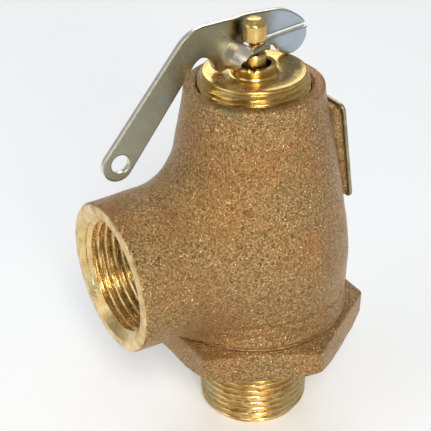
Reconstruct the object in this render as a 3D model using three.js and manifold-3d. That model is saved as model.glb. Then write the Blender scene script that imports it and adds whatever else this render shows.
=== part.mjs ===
// Bronze pressure relief valve with a side outlet and a lifting lever.
// Millimetres. +Z is up along the valve axis, z = 0 is the end of the inlet thread,
// the outlet points along -X and the nameplate sits on the +X side.
import * as THREE from "three";
import Module from "manifold-3d";

const wasm = await Module();
wasm.setup();

// ---- general ----
const ROUND = 48;                 // facets on a full circle of the large parts
const SMALL_ROUND = 32;           // facets on a full circle of the small parts
const FIT_GAP = 0.25;             // radial gap left between a thread and its socket
const REST_GAP = 0.04;            // gap left between faces that rest on each other

// ---- inlet base ----
const PIPE_RADIUS = 13.335;       // 3/4 inch taper pipe thread, outside radius
const PIPE_PITCH = 1.814;         // 14 threads per inch
const PIPE_THREAD_DEPTH = 1.1;
const PIPE_TAPER = 1 / 32;        // radius lost per millimetre towards the end
const PIPE_TURNS = 10;
const PIPE_START = 1.1;           // height of the first thread root
const INLET_BORE = 8.6;           // radius of the inlet waterway
const HEX_ACROSS_FLATS = 46.0;
const HEX_BOTTOM = 22.3;
const HEX_TOP = 29.8;
const HEX_CORNER_ROUND = 1.6;
const HEX_TURN = -147.3;          // direction of the first corner, degrees
const HEX_CHAMFER_SLOPE = 0.62;   // rise of the corner chamfer per millimetre of radius
const SEAM_Z = 31.6;              // top of the base's shoulder, where the body sits
const SEAM_RADIUS = 20.9;
const SOCKET_RADIUS = 16.4;       // thread between base and body
const SOCKET_TOP = 39.0;
const NOZZLE_RADIUS = 10.6;
const SEAT_Z = 44.0;

// ---- body ----
const GASKET_THICK = 0.5;
const BODY_BOTTOM = SEAM_Z + GASKET_THICK + 2 * REST_GAP;
const BODY_TOP = 85.2;
const CHAMBER_RADIUS = 17.6;
const GUIDE_RADIUS = 11.3;
const GUIDE_BOTTOM = 59.0;
const OUTLET_Z = 48.6;
const OUTLET_FACE_X = -36.9;
const OUTLET_RADIUS = 16.8;
const OUTLET_MOUTH = 14.4;        // radius of the countersink at the outlet face
const OUTLET_CREST = 12.2;        // radius of the female thread crests at the mouth
const OUTLET_THREAD_LENGTH = 15;
const OUTLET_THREAD_DEPTH = 1.0;
const OUTLET_PASSAGE = 11.0;

// ---- nameplate ----
const PLATE_X = 20.2;             // middle of the plate's outer face
const PLATE_Z = 65.9;
const PLATE_HEIGHT = 24.4;
const PLATE_WIDTH = 16.0;
const PLATE_THICK = 0.8;
const PLATE_TILT = 8.1;           // degrees, top leans inwards
const PLATE_CORNER = 1.6;
const PAD_MARGIN = 0.7;
const PLATE_SCREW_OFFSET = 9.6;
const PLATE_SCREW_SHANK = 0.9;
const PLATE_SCREW_HEAD = 1.8;

// ---- adjusting plug ----
const PLUG_CREST = 12.0;
const PLUG_PITCH = 1.27;          // 20 threads per inch
const PLUG_THREAD_DEPTH = 0.75;
const PLUG_TURNS = 3;             // turns cut on the part that stands clear of the body
const PLUG_BOTTOM = 77.3;
const PLUG_RIM_RADIUS = 11.2;
const PLUG_RIM_Z = 88.0;
const PLUG_TOP_Z = 88.1;
const HUB_RADIUS = 4.7;
const HUB_TOP = 89.7;
const HUB_BORE = 3.6;

// ---- spring, washers and disc ----
const WASHER_RADIUS = 10.3;
const WASHER_THICK = 1.7;
const WASHER_HOLE = 2.95;
const HOLDER_RADIUS = 10.9;
const INSERT_RADIUS = 9.9;
const INSERT_THICK = 2.4;
const HOLDER_SKIRT = 0.9;         // how far the holder's rim hangs round the insert
const HOLDER_BOTTOM = SEAT_Z + INSERT_THICK + 2 * REST_GAP;
const HOLDER_TOP = 57.0;
const SPRING_WIRE = 1.35;         // wire radius
const SPRING_RADIUS = 7.9;        // radius of the coil's centre line
const SPRING_COILS = 4.5;
const PIN_RADIUS = 1.0;
const PIN_Z = 52.5;

// ---- stem ----
const STEM_RADIUS = 2.57;
const STEM_BOTTOM = 49.4;
const STEM_TOP = 99.5;
const STEM_CHAMFER = 1.3;
const NECK_RADIUS = 1.2;
const NECK_BOTTOM = 91.3;
const NECK_TOP = 94.7;

// ---- lever ----
const SHEET = 1.4;                // lever sheet thickness
const SHEET_FRONT = 2.3;          // y of the flat sheet's front face
const FOOT_Z = PLUG_TOP_Z + REST_GAP;
const ARM_END = [-31.6, 73.2];    // centre of the rounded arm end, x and z
const ARM_END_RADIUS = 3.5;
const PULL_HOLE = [-31.1, 73.5];  // centre of the pull hole, x and z
const PULL_HOLE_RADIUS = 2.05;
const LOBE_RADIUS = 4.16;         // rounded lobe that rocks on the plug
const LOBE = [10.8, FOOT_Z + LOBE_RADIUS];
const HEAD_BEND_BACK = 1.2;       // how far the head's upper half is pushed back behind the stem
const STRIP_FORWARD = 5.2;        // how far the strip is pushed forward past the stem
const STRIP_START = -6.4;         // x where the strip leaves the flat sheet
const STRIP_WALL = 1.3;           // length of the steep bend at the strip's left end
const FOOT_SLIT_Z = 90.9;         // the strip is parted from the left foot at this height
const SLIT_GAP = 0.35;

// ---------------------------------------------------------------- solids
function weld(geometry) {
  const place = geometry.getAttribute("position");
  const index = geometry.getIndex();
  const count = index ? index.count : place.count;
  const seen = new Map();
  const points = [];
  const ids = [];
  for (let k = 0; k < count; k++) {
    const v = index ? index.getX(k) : k;
    const xyz = [place.getX(v), place.getY(v), place.getZ(v)];
    const key = xyz.map((c) => Math.round(c * 1e4)).join(",");
    if (!seen.has(key)) {
      seen.set(key, points.length / 3);
      points.push(...xyz);
    }
    ids.push(seen.get(key));
  }
  const triangles = [];
  for (let k = 0; k < ids.length; k += 3) {
    const [a, b, c] = ids.slice(k, k + 3);
    if (a !== b && b !== c && c !== a) triangles.push(a, b, c);
  }
  return { points, triangles };
}

function signedVolume({ points, triangles }) {
  const at = (i) => new THREE.Vector3(points[3 * i], points[3 * i + 1], points[3 * i + 2]);
  let sum = 0;
  for (let k = 0; k < triangles.length; k += 3) {
    const a = at(triangles[k]);
    const b = at(triangles[k + 1]);
    const c = at(triangles[k + 2]);
    sum += a.dot(b.cross(c)) / 6;
  }
  return sum;
}

function solid(geometry) {
  const welded = weld(geometry);
  if (signedVolume(welded) < 0) {
    for (let k = 0; k < welded.triangles.length; k += 3) {
      const swap = welded.triangles[k + 1];
      welded.triangles[k + 1] = welded.triangles[k + 2];
      welded.triangles[k + 2] = swap;
    }
  }
  return new wasm.Manifold(new wasm.Mesh({
    numProp: 3,
    vertProperties: new Float32Array(welded.points),
    triVerts: new Uint32Array(welded.triangles),
  }));
}

function toGeometry(manifold) {
  const mesh = manifold.getMesh();
  const stride = mesh.numProp;
  const count = mesh.vertProperties.length / stride;
  const place = new Float32Array(count * 3);
  for (let v = 0; v < count; v++) {
    for (let c = 0; c < 3; c++) place[3 * v + c] = mesh.vertProperties[stride * v + c];
  }
  const geometry = new THREE.BufferGeometry();
  geometry.setAttribute("position", new THREE.BufferAttribute(place, 3));
  geometry.setIndex([...mesh.triVerts]);
  const faceted = geometry.toNonIndexed();
  faceted.computeVertexNormals();
  return faceted;
}

// A profile of [radius, height] pairs turned round the Z axis.
function turned(profile, segments = ROUND) {
  const points = profile.map(([r, z]) => new THREE.Vector2(r, z));
  const geometry = new THREE.LatheGeometry(points, segments);
  geometry.rotateX(Math.PI / 2);
  return solid(geometry);
}

function ring(outer, inner, low, high, segments = ROUND) {
  const profile = [[inner, low], [outer, low], [outer, high], [inner, high], [inner, low]];
  return turned(profile, segments);
}

function rod(radius, low, high, segments = SMALL_ROUND) {
  return turned([[0, low], [radius, low], [radius, high], [0, high]], segments);
}

// Turns a solid made round Z so that its axis points along -X at the outlet's height.
function towardsOutlet(manifold) {
  return manifold.rotate([0, -90, 0]).translate([0, 0, OUTLET_Z]);
}

function box(size, middle) {
  const geometry = new THREE.BoxGeometry(...size);
  geometry.translate(...middle);
  return solid(geometry);
}

// ---------------------------------------------------------------- inlet base
function pipeThreadProfile() {
  const radiusAt = (z) => PIPE_RADIUS - PIPE_TAPER * Math.max(0, 16 - z);
  const profile = [];
  for (let turn = 0; turn < PIPE_TURNS; turn++) {
    const z = PIPE_START + turn * PIPE_PITCH;
    const crest = radiusAt(z);
    profile.push([crest - PIPE_THREAD_DEPTH, z]);
    profile.push([crest, z + 0.42 * PIPE_PITCH]);
    profile.push([crest, z + 0.58 * PIPE_PITCH]);
  }
  const end = PIPE_START + PIPE_TURNS * PIPE_PITCH;
  profile.push([PIPE_RADIUS - PIPE_THREAD_DEPTH, end]);
  return profile;
}

function hexShape() {
  const corner = HEX_ACROSS_FLATS / 2 / Math.cos(Math.PI / 6);
  const inset = corner - HEX_CORNER_ROUND / Math.cos(Math.PI / 6);
  const shape = new THREE.Shape();
  for (let k = 0; k < 6; k++) {
    const turn = THREE.MathUtils.degToRad(HEX_TURN + 60 * k);
    const x = inset * Math.cos(turn);
    const y = inset * Math.sin(turn);
    shape.absarc(x, y, HEX_CORNER_ROUND, turn - Math.PI / 6, turn + Math.PI / 6);
  }
  shape.closePath();
  return shape;
}

function hexagon() {
  const height = HEX_TOP - HEX_BOTTOM;
  const blank = new THREE.ExtrudeGeometry(hexShape(), {
    depth: height, bevelEnabled: false, curveSegments: 5,
  });
  blank.translate(0, 0, HEX_BOTTOM);
  const flat = HEX_ACROSS_FLATS / 2;
  const reach = 30;
  const drop = (reach - flat) * HEX_CHAMFER_SLOPE;
  const turning = turned([
    [0, HEX_BOTTOM],
    [flat - 0.6, HEX_BOTTOM],
    [reach, HEX_BOTTOM + drop],
    [reach, HEX_TOP - 0.35 * drop],
    [flat - 0.6, HEX_TOP],
    [0, HEX_TOP],
  ]);
  return solid(blank).intersect(turning);
}

function inletBase() {
  const shank = turned([
    [0, 0],
    [PIPE_RADIUS - PIPE_THREAD_DEPTH - 0.7, 0],
    ...pipeThreadProfile(),
    [PIPE_RADIUS - 0.7, HEX_BOTTOM + 0.5],
    [0, HEX_BOTTOM + 0.5],
  ]);
  const shoulder = turned([
    [0, HEX_TOP - 0.5],
    [SEAM_RADIUS + 1.7, HEX_TOP - 0.5],
    [SEAM_RADIUS + 1.0, SEAM_Z - 0.9],
    [SEAM_RADIUS, SEAM_Z],
    [SOCKET_RADIUS, SEAM_Z],
    [SOCKET_RADIUS, SOCKET_TOP],
    [NOZZLE_RADIUS + 1.5, SOCKET_TOP],
    [NOZZLE_RADIUS, SOCKET_TOP + 1.5],
    [NOZZLE_RADIUS, SEAT_Z - 1.2],
    [INLET_BORE + 1.1, SEAT_Z],
    [0, SEAT_Z],
  ]);
  const waterway = turned([
    [0, -1],
    [INLET_BORE + 1.6, -1],
    [INLET_BORE + 1.6, 0],
    [INLET_BORE, 1.2],
    [INLET_BORE, SEAT_Z + 1],
    [0, SEAT_Z + 1],
  ], SMALL_ROUND);
  return shank.add(hexagon()).add(shoulder).subtract(waterway);
}

function baseGasket() {
  const low = SEAM_Z + REST_GAP;
  return ring(SEAM_RADIUS - 0.15, SOCKET_RADIUS + FIT_GAP, low, low + GASKET_THICK);
}

// ---------------------------------------------------------------- body
function bodyOutside() {
  return turned([
    [0, BODY_BOTTOM],
    [SEAM_RADIUS - 0.4, BODY_BOTTOM],
    [SEAM_RADIUS, BODY_BOTTOM + 0.4],
    [21.2, 35.0],
    [21.5, 38.6],
    [21.3, 39.6],
    [21.6, 41.0],
    [21.65, 44.5],
    [21.45, 48.0],
    [21.0, 52.0],
    [20.35, 55.5],
    [19.6, 60.0],
    [18.7, 65.5],
    [17.85, 69.5],
    [17.05, 73.5],
    [16.25, 77.5],
    [15.5, 81.3],
    [15.2, BODY_TOP - 0.8],
    [14.7, BODY_TOP],
    [0, BODY_TOP],
  ]);
}

function outletBoss() {
  const length = -OUTLET_FACE_X;
  return towardsOutlet(turned([
    [0, 4],
    [17.0, 4],
    [17.0, 24],
    [OUTLET_RADIUS, 31],
    [OUTLET_RADIUS, length - 0.5],
    [OUTLET_RADIUS - 0.5, length],
    [0, length],
  ]));
}

function placedOnPad(manifold) {
  return manifold.rotate([0, -PLATE_TILT, 0]).translate([PLATE_X, 0, PLATE_Z]);
}

// A rounded plate in the Y-Z plane whose outer face is at x = 0.
function roundedPlate(width, height, corner, thick, outer) {
  const shape = new THREE.Shape();
  const w = width / 2 - corner;
  const h = height / 2 - corner;
  shape.absarc(w, h, corner, 0, Math.PI / 2);
  shape.absarc(-w, h, corner, Math.PI / 2, Math.PI);
  shape.absarc(-w, -h, corner, Math.PI, 1.5 * Math.PI);
  shape.absarc(w, -h, corner, 1.5 * Math.PI, 2 * Math.PI);
  shape.closePath();
  const geometry = new THREE.ExtrudeGeometry(shape, {
    depth: thick, bevelEnabled: false, curveSegments: 5,
  });
  geometry.rotateX(Math.PI / 2);
  geometry.rotateZ(Math.PI / 2);
  geometry.translate(outer - thick, 0, 0);
  return solid(geometry);
}

function nameplatePad() {
  const width = PLATE_WIDTH - 2 * PAD_MARGIN;
  const height = PLATE_HEIGHT - 2 * PAD_MARGIN;
  const block = roundedPlate(width, height, PLATE_CORNER, 12, -PLATE_THICK - REST_GAP);
  return placedOnPad(block);
}

function bodyInside() {
  return turned([
    [0, BODY_BOTTOM - 1],
    [SOCKET_RADIUS + FIT_GAP, BODY_BOTTOM - 1],
    [SOCKET_RADIUS + FIT_GAP, SOCKET_TOP + 0.6],
    [CHAMBER_RADIUS, SOCKET_TOP + 1.8],
    [CHAMBER_RADIUS, 52.0],
    [GUIDE_RADIUS + 2.4, GUIDE_BOTTOM - 2.4],
    [GUIDE_RADIUS, GUIDE_BOTTOM - 2.4],
    [GUIDE_RADIUS, PLUG_BOTTOM - 1.4],
    [PLUG_CREST + FIT_GAP, PLUG_BOTTOM - 0.5],
    [PLUG_CREST + FIT_GAP, BODY_TOP - 0.6],
    [PLUG_CREST + FIT_GAP + 0.7, BODY_TOP + 0.1],
    [PLUG_CREST + FIT_GAP + 0.7, BODY_TOP + 1],
    [0, BODY_TOP + 1],
  ]);
}

function outletInside() {
  const length = -OUTLET_FACE_X;
  const profile = [[0, 2], [OUTLET_PASSAGE, 2], [OUTLET_PASSAGE, length - OUTLET_THREAD_LENGTH - 1]];
  const turns = Math.floor(OUTLET_THREAD_LENGTH / PIPE_PITCH);
  for (let turn = 0; turn < turns; turn++) {
    const depth = OUTLET_THREAD_LENGTH - turn * PIPE_PITCH;
    const crest = OUTLET_CREST - PIPE_TAPER * depth;
    profile.push([crest, length - depth]);
    profile.push([crest + OUTLET_THREAD_DEPTH, length - depth + 0.5 * PIPE_PITCH]);
  }
  profile.push([OUTLET_CREST, length - OUTLET_THREAD_LENGTH + turns * PIPE_PITCH]);
  profile.push([OUTLET_CREST + OUTLET_THREAD_DEPTH, length - 0.9]);
  profile.push([OUTLET_MOUTH, length + 0.05]);
  profile.push([OUTLET_MOUTH, length + 2]);
  profile.push([0, length + 2]);
  return towardsOutlet(turned(profile));
}

function plateScrewHoles(radius, deep) {
  let holes = null;
  for (const side of [1, -1]) {
    const hole = rod(radius, -deep, 1, 16).rotate([0, 90, 0]).translate([0, 0, side * PLATE_SCREW_OFFSET]);
    holes = holes ? holes.add(hole) : hole;
  }
  return placedOnPad(holes);
}

function body() {
  return bodyOutside()
    .add(outletBoss())
    .add(nameplatePad())
    .subtract(rod(28, BODY_BOTTOM - 8, BODY_BOTTOM))
    .subtract(bodyInside())
    .subtract(outletInside())
    .subtract(plateScrewHoles(PLATE_SCREW_SHANK + 0.12, 3.2));
}

// ---------------------------------------------------------------- nameplate
function nameplate() {
  const plate = roundedPlate(PLATE_WIDTH, PLATE_HEIGHT, PLATE_CORNER, PLATE_THICK, 0);
  return placedOnPad(plate).subtract(plateScrewHoles(PLATE_SCREW_SHANK + 0.12, 3.2));
}

function plateScrew(side) {
  const screw = turned([
    [0, -2.8],
    [PLATE_SCREW_SHANK, -2.8],
    [PLATE_SCREW_SHANK, REST_GAP],
    [PLATE_SCREW_HEAD, REST_GAP],
    [0.85 * PLATE_SCREW_HEAD, 0.55],
    [0.5 * PLATE_SCREW_HEAD, 0.85],
    [0, 0.95],
  ], 20);
  return placedOnPad(screw.rotate([0, 90, 0]).translate([0, 0, side * PLATE_SCREW_OFFSET]));
}

// ---------------------------------------------------------------- adjusting plug
function adjustingPlug() {
  const threadLow = PLUG_RIM_Z - 0.8 - PLUG_TURNS * PLUG_PITCH;
  const profile = [
    [HUB_BORE, PLUG_BOTTOM],
    [PLUG_CREST - 0.8, PLUG_BOTTOM],
    [PLUG_CREST, PLUG_BOTTOM + 0.8],
    [PLUG_CREST, threadLow - 0.5 * PLUG_PITCH],
    [PLUG_CREST - PLUG_THREAD_DEPTH, threadLow],
  ];
  for (let turn = 0; turn < PLUG_TURNS; turn++) {
    const z = threadLow + turn * PLUG_PITCH;
    profile.push([PLUG_CREST, z + 0.45 * PLUG_PITCH]);
    profile.push([PLUG_CREST, z + 0.6 * PLUG_PITCH]);
    profile.push([PLUG_CREST - PLUG_THREAD_DEPTH, z + PLUG_PITCH]);
  }
  profile.push([PLUG_RIM_RADIUS + 0.15, PLUG_RIM_Z - 0.35]);
  profile.push([PLUG_RIM_RADIUS - 0.25, PLUG_RIM_Z]);
  profile.push([PLUG_RIM_RADIUS - 1.2, PLUG_TOP_Z]);
  profile.push([HUB_RADIUS + 2.2, PLUG_TOP_Z - 0.25]);
  profile.push([HUB_RADIUS + 0.6, PLUG_TOP_Z - 0.75]);
  profile.push([HUB_RADIUS, PLUG_TOP_Z - 0.35]);
  profile.push([HUB_RADIUS, HUB_TOP - 0.3]);
  profile.push([HUB_RADIUS - 0.3, HUB_TOP]);
  profile.push([HUB_BORE + 0.3, HUB_TOP]);
  profile.push([HUB_BORE, HUB_TOP - 0.3]);
  profile.push([HUB_BORE, PLUG_BOTTOM]);
  return turned(profile);
}

// ---------------------------------------------------------------- spring and disc
const LOWER_WASHER_Z = HOLDER_TOP + REST_GAP;
const UPPER_WASHER_Z = PLUG_BOTTOM - REST_GAP - WASHER_THICK;
const SPRING_LOW = LOWER_WASHER_Z + WASHER_THICK + REST_GAP;
const SPRING_HIGH = UPPER_WASHER_Z - REST_GAP;

function springWasher(low, hole) {
  return turned([
    [hole, low],
    [WASHER_RADIUS, low],
    [WASHER_RADIUS, low + WASHER_THICK - 0.2],
    [WASHER_RADIUS - 0.2, low + WASHER_THICK],
    [hole, low + WASHER_THICK],
    [hole, low],
  ], SMALL_ROUND);
}

class CoilCurve extends THREE.Curve {
  getPoint(t, target = new THREE.Vector3()) {
    const flat = 0.14;
    const climb = THREE.MathUtils.clamp((t - flat) / (1 - 2 * flat), 0, 1);
    const low = SPRING_LOW + SPRING_WIRE;
    const high = SPRING_HIGH - SPRING_WIRE;
    const lead = 2.02 * SPRING_WIRE * Math.min(t, flat) / flat * 0.7;
    const tail = 2.02 * SPRING_WIRE * Math.max(0, t - 1 + flat) / flat * 0.7;
    const spare = 2 * 2.02 * SPRING_WIRE * 0.7;
    const z = low + lead + tail + (high - low - spare) * climb;
    const turn = 2 * Math.PI * (SPRING_COILS + 0.5) * t;
    return target.set(SPRING_RADIUS * Math.cos(turn), SPRING_RADIUS * Math.sin(turn), z);
  }
}

function spring() {
  const wire = new THREE.Shape();
  wire.absarc(0, 0, SPRING_WIRE, 0, 2 * Math.PI);
  const geometry = new THREE.ExtrudeGeometry(wire, {
    extrudePath: new CoilCurve(), steps: 84, curveSegments: 4,
  });
  return solid(geometry);
}

function discHolder() {
  const cup = turned([
    [0, HOLDER_BOTTOM],
    [INSERT_RADIUS + 0.15, HOLDER_BOTTOM],
    [INSERT_RADIUS + 0.15, HOLDER_BOTTOM - HOLDER_SKIRT],
    [HOLDER_RADIUS, HOLDER_BOTTOM - HOLDER_SKIRT],
    [HOLDER_RADIUS, HOLDER_BOTTOM + 4.5],
    [HOLDER_RADIUS - 3.4, HOLDER_BOTTOM + 6.0],
    [HOLDER_RADIUS - 3.4, HOLDER_TOP - 1.6],
    [HOLDER_RADIUS - 0.6, HOLDER_TOP],
    [0, HOLDER_TOP],
  ], SMALL_ROUND);
  const stemSocket = rod(STEM_RADIUS + 0.15, STEM_BOTTOM - 0.2, HOLDER_TOP + 1);
  const screwHole = rod(1.65, HOLDER_BOTTOM - 2, HOLDER_BOTTOM + 2.2, 20);
  return cup.subtract(stemSocket).subtract(screwHole).subtract(crossHole(PIN_RADIUS + 0.12));
}

function crossHole(radius, half = 20) {
  return rod(radius, -half, half, 20).rotate([90, 0, 0]).translate([0, 0, PIN_Z]);
}

function seatInsert() {
  const low = SEAT_Z + REST_GAP;
  return ring(INSERT_RADIUS, 1.8, low, low + INSERT_THICK, SMALL_ROUND);
}

function insertScrew() {
  const seat = SEAT_Z;
  return turned([
    [0, seat - 1.6],
    [2.6, seat - 1.6],
    [3.3, seat - 1.2],
    [3.3, seat],
    [1.5, seat],
    [1.5, HOLDER_BOTTOM + 2.0],
    [0, HOLDER_BOTTOM + 2.0],
  ], 24);
}

function stemPin() {
  return crossHole(PIN_RADIUS, HOLDER_RADIUS - 3.7);
}

// ---------------------------------------------------------------- stem
function stem() {
  const shaft = turned([
    [0, STEM_BOTTOM],
    [STEM_RADIUS, STEM_BOTTOM],
    [STEM_RADIUS, NECK_BOTTOM - 0.5],
    [STEM_RADIUS - 0.3, NECK_BOTTOM],
    [NECK_RADIUS, NECK_BOTTOM],
    [NECK_RADIUS, NECK_TOP],
    [STEM_RADIUS, NECK_TOP],
    [STEM_RADIUS, STEM_TOP - STEM_CHAMFER],
    [STEM_RADIUS - 0.5, STEM_TOP - 0.5 * STEM_CHAMFER],
    [STEM_RADIUS - 1.2, STEM_TOP - 0.12],
    [0, STEM_TOP],
  ]);
  return shaft.subtract(crossHole(PIN_RADIUS + 0.12));
}

// ---------------------------------------------------------------- lever
// Outlines are drawn in X and Z and stand upright in the model.
function uprightPrism(shape, front, back) {
  const geometry = new THREE.ExtrudeGeometry(shape, {
    depth: back - front, bevelEnabled: false, curveSegments: 8,
  });
  geometry.rotateX(Math.PI / 2);
  geometry.translate(0, back, 0);
  return solid(geometry);
}

function leverShape() {
  const degrees = THREE.MathUtils.degToRad;
  const shape = new THREE.Shape();
  shape.moveTo(-16.9, 95.5);
  shape.lineTo(-34.2, 75.5);
  shape.absarc(...ARM_END, ARM_END_RADIUS, degrees(140), degrees(322));
  shape.lineTo(-15.9, 87.4);
  shape.lineTo(-13.4, 90.7);
  shape.quadraticCurveTo(-12.2, 92.3, -11.0, 92.3);
  shape.quadraticCurveTo(-9.1, 92.0, -8.6, 90.0);
  shape.quadraticCurveTo(-8.1, FOOT_Z, -6.4, FOOT_Z);
  shape.quadraticCurveTo(-4.9, FOOT_Z, -4.75, 89.6);
  shape.lineTo(-4.7, 91.2);
  shape.quadraticCurveTo(-4.5, 92.1, -3.2, 92.2);
  shape.lineTo(1.2, 93.1);
  shape.lineTo(5.2, 91.5);
  shape.absarc(...LOBE, LOBE_RADIUS, degrees(200), degrees(370));
  shape.lineTo(15.9, 93.2);
  shape.quadraticCurveTo(15.2, 94.7, 13.2, 96.3);
  shape.quadraticCurveTo(10.4, 98.6, 7.2, 98.9);
  shape.lineTo(0.7, 99.2);
  shape.lineTo(-10.1, 99.1);
  shape.quadraticCurveTo(-14.4, 98.8, -16.9, 95.5);
  shape.closePath();
  return shape;
}

// The line the slit follows, from the strip's left end to the head's right edge.
const SLIT_LINE = [[-7, 94.55], [-3.2, 94.55], [-1.6, 94.15], [1.2, 94.35], [5.5, 92.9], [17, 93.9]];

function sideOfSlit(upper) {
  const shift = upper ? SLIT_GAP / 2 : -SLIT_GAP / 2;
  const far = upper ? 110 : 60;
  const shape = new THREE.Shape();
  SLIT_LINE.forEach(([x, z], k) => {
    if (k === 0) shape.moveTo(x, z + shift);
    else shape.lineTo(x, z + shift);
  });
  shape.lineTo(SLIT_LINE[SLIT_LINE.length - 1][0], far);
  shape.lineTo(SLIT_LINE[0][0], far);
  shape.closePath();
  return uprightPrism(shape, -20, 20);
}

// A tall upright slab whose outline in X and Y is given by its front and back edges.
function uprightSlab(front, back) {
  const shape = new THREE.Shape();
  [...front, ...back.reverse()].forEach(([x, y], k) => {
    if (k === 0) shape.moveTo(x, y);
    else shape.lineTo(x, y);
  });
  shape.closePath();
  const geometry = new THREE.ExtrudeGeometry(shape, { depth: 60, bevelEnabled: false });
  geometry.translate(0, 0, 60);
  return solid(geometry);
}

// Points [x, y + bend(x)] from one x to another.
function bentEdge(bend, from, to, y, steps) {
  const edge = [];
  for (let k = 0; k <= steps; k++) {
    const x = from + (to - from) * k / steps;
    edge.push([x, y + bend(x)]);
  }
  return edge;
}

function flatSlab() {
  const back = SHEET_FRONT + SHEET;
  return uprightSlab([[-40, SHEET_FRONT], [17, SHEET_FRONT]], [[-40, back], [17, back]]);
}

// The head's upper half steps back a little, so that it clears the stem.
function upperSlab() {
  const bend = (x) => HEAD_BEND_BACK * THREE.MathUtils.smoothstep(x, -4.5, 1);
  const front = bentEdge(bend, -7, 17, SHEET_FRONT, 40);
  const back = bentEdge(bend, -7, 17, SHEET_FRONT + SHEET, 40);
  return uprightSlab(front, back);
}

// The strip steps forward past the stem's neck and comes back to the sheet at the lobe.
function stripSlab() {
  const bend = (x) => -STRIP_FORWARD * (1 - THREE.MathUtils.smoothstep(x, 1.2, 5.2));
  const wallFront = [[-7, SHEET_FRONT], [STRIP_START, SHEET_FRONT]];
  const wallBack = [
    [-7, SHEET_FRONT + SHEET],
    [STRIP_START + STRIP_WALL - 0.3, SHEET_FRONT + SHEET],
    [STRIP_START + STRIP_WALL, SHEET_FRONT + SHEET - 0.3],
  ];
  const front = bentEdge(bend, STRIP_START + 0.3, 17, SHEET_FRONT, 60);
  const back = bentEdge(bend, STRIP_START + STRIP_WALL + 0.3, 17, SHEET_FRONT + SHEET, 60);
  return uprightSlab([...wallFront, ...front], [...wallBack, ...back]);
}

function lever() {
  const outline = uprightPrism(leverShape(), -20, 20);
  const leftOfStrip = box([40, 40, 60], [STRIP_START - 20, 0, 90]);
  const footCorner = box([3, 40, FOOT_SLIT_Z - 60], [STRIP_START + 1.4, 0, (FOOT_SLIT_Z + 60) / 2]);
  const footGap = box([3, 40, 0.2], [STRIP_START + 1.55, 0, FOOT_SLIT_Z]);
  const head = outline.subtract(leftOfStrip.translate([-0.1, 0, 0]));
  const flat = outline.intersect(leftOfStrip.add(footCorner)).intersect(flatSlab());
  const upper = head.intersect(sideOfSlit(true)).intersect(upperSlab());
  const strip = head.intersect(sideOfSlit(false)).subtract(footCorner).subtract(footGap);
  const hole = rod(PULL_HOLE_RADIUS, -10, 10, 24).rotate([90, 0, 0]).translate([PULL_HOLE[0], 0, PULL_HOLE[1]]);
  return flat.subtract(footGap).add(upper).add(strip.intersect(stripSlab())).subtract(hole);
}

// ---------------------------------------------------------------- assembly
const materials = {
  bronze: new THREE.MeshStandardMaterial({ color: 0x9a7140, metalness: 0.9, roughness: 0.6 }),
  brass: new THREE.MeshStandardMaterial({ color: 0xc9a34a, metalness: 1.0, roughness: 0.25 }),
  steel: new THREE.MeshStandardMaterial({ color: 0x8c8f86, metalness: 0.9, roughness: 0.4 }),
  springSteel: new THREE.MeshStandardMaterial({ color: 0x6d6f72, metalness: 0.9, roughness: 0.35 }),
  plate: new THREE.MeshStandardMaterial({ color: 0x6f6a52, metalness: 0.8, roughness: 0.45 }),
  polymer: new THREE.MeshStandardMaterial({ color: 0xe8e4da, metalness: 0.0, roughness: 0.6 }),
  gasket: new THREE.MeshStandardMaterial({ color: 0xd8b98a, metalness: 0.9, roughness: 0.35 }),
};

const valve = new THREE.Group();

function piece(name, manifold, material) {
  const mesh = new THREE.Mesh(toGeometry(manifold), materials[material]);
  mesh.name = name;
  valve.add(mesh);
}

piece("body", body(), "bronze");
piece("inlet_base", inletBase(), "bronze");
piece("base_gasket", baseGasket(), "gasket");
piece("seat_insert", seatInsert(), "polymer");
piece("insert_screw", insertScrew(), "steel");
piece("disc_holder", discHolder(), "brass");
piece("stem_pin", stemPin(), "steel");
piece("lower_spring_washer", springWasher(LOWER_WASHER_Z, WASHER_HOLE), "steel");
piece("spring", spring(), "springSteel");
piece("upper_spring_washer", springWasher(UPPER_WASHER_Z, WASHER_HOLE), "steel");
piece("adjusting_plug", adjustingPlug(), "brass");
piece("stem", stem(), "brass");
piece("lever", lever(), "steel");
piece("nameplate", nameplate(), "plate");
piece("nameplate_screw_top", plateScrew(1), "steel");
piece("nameplate_screw_bottom", plateScrew(-1), "steel");

export default valve;
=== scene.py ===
import math

import bpy
import numpy as np
from mathutils import Matrix, Vector


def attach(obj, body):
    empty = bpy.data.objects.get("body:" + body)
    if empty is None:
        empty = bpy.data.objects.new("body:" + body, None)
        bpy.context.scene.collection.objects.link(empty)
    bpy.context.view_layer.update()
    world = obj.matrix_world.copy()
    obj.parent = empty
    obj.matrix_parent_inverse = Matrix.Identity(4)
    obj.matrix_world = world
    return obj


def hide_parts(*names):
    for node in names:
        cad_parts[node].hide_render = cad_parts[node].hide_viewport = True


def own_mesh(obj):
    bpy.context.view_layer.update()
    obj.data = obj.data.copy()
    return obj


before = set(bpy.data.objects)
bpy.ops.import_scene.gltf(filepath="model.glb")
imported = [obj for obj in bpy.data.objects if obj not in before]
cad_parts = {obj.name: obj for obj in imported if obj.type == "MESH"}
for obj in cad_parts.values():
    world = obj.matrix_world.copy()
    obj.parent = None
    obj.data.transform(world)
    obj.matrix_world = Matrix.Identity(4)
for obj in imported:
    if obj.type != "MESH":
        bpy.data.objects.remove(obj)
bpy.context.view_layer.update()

MM = 0.001                       # shapes are worked out in millimetres and placed in metres

# ---- camera, fitted to the photograph's viewing angle ----
CAMERA_PLACE = (-116.05, -177.0, 183.4)
CAMERA_TURN = math.radians(-33.25)
CAMERA_PITCH = math.radians(31.82)
CAMERA_YAW = math.radians(-2.33)
CAMERA_ROLL = math.radians(-0.97)
CAMERA_LENS = 91.88              # mm on a 36 mm sensor

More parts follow.
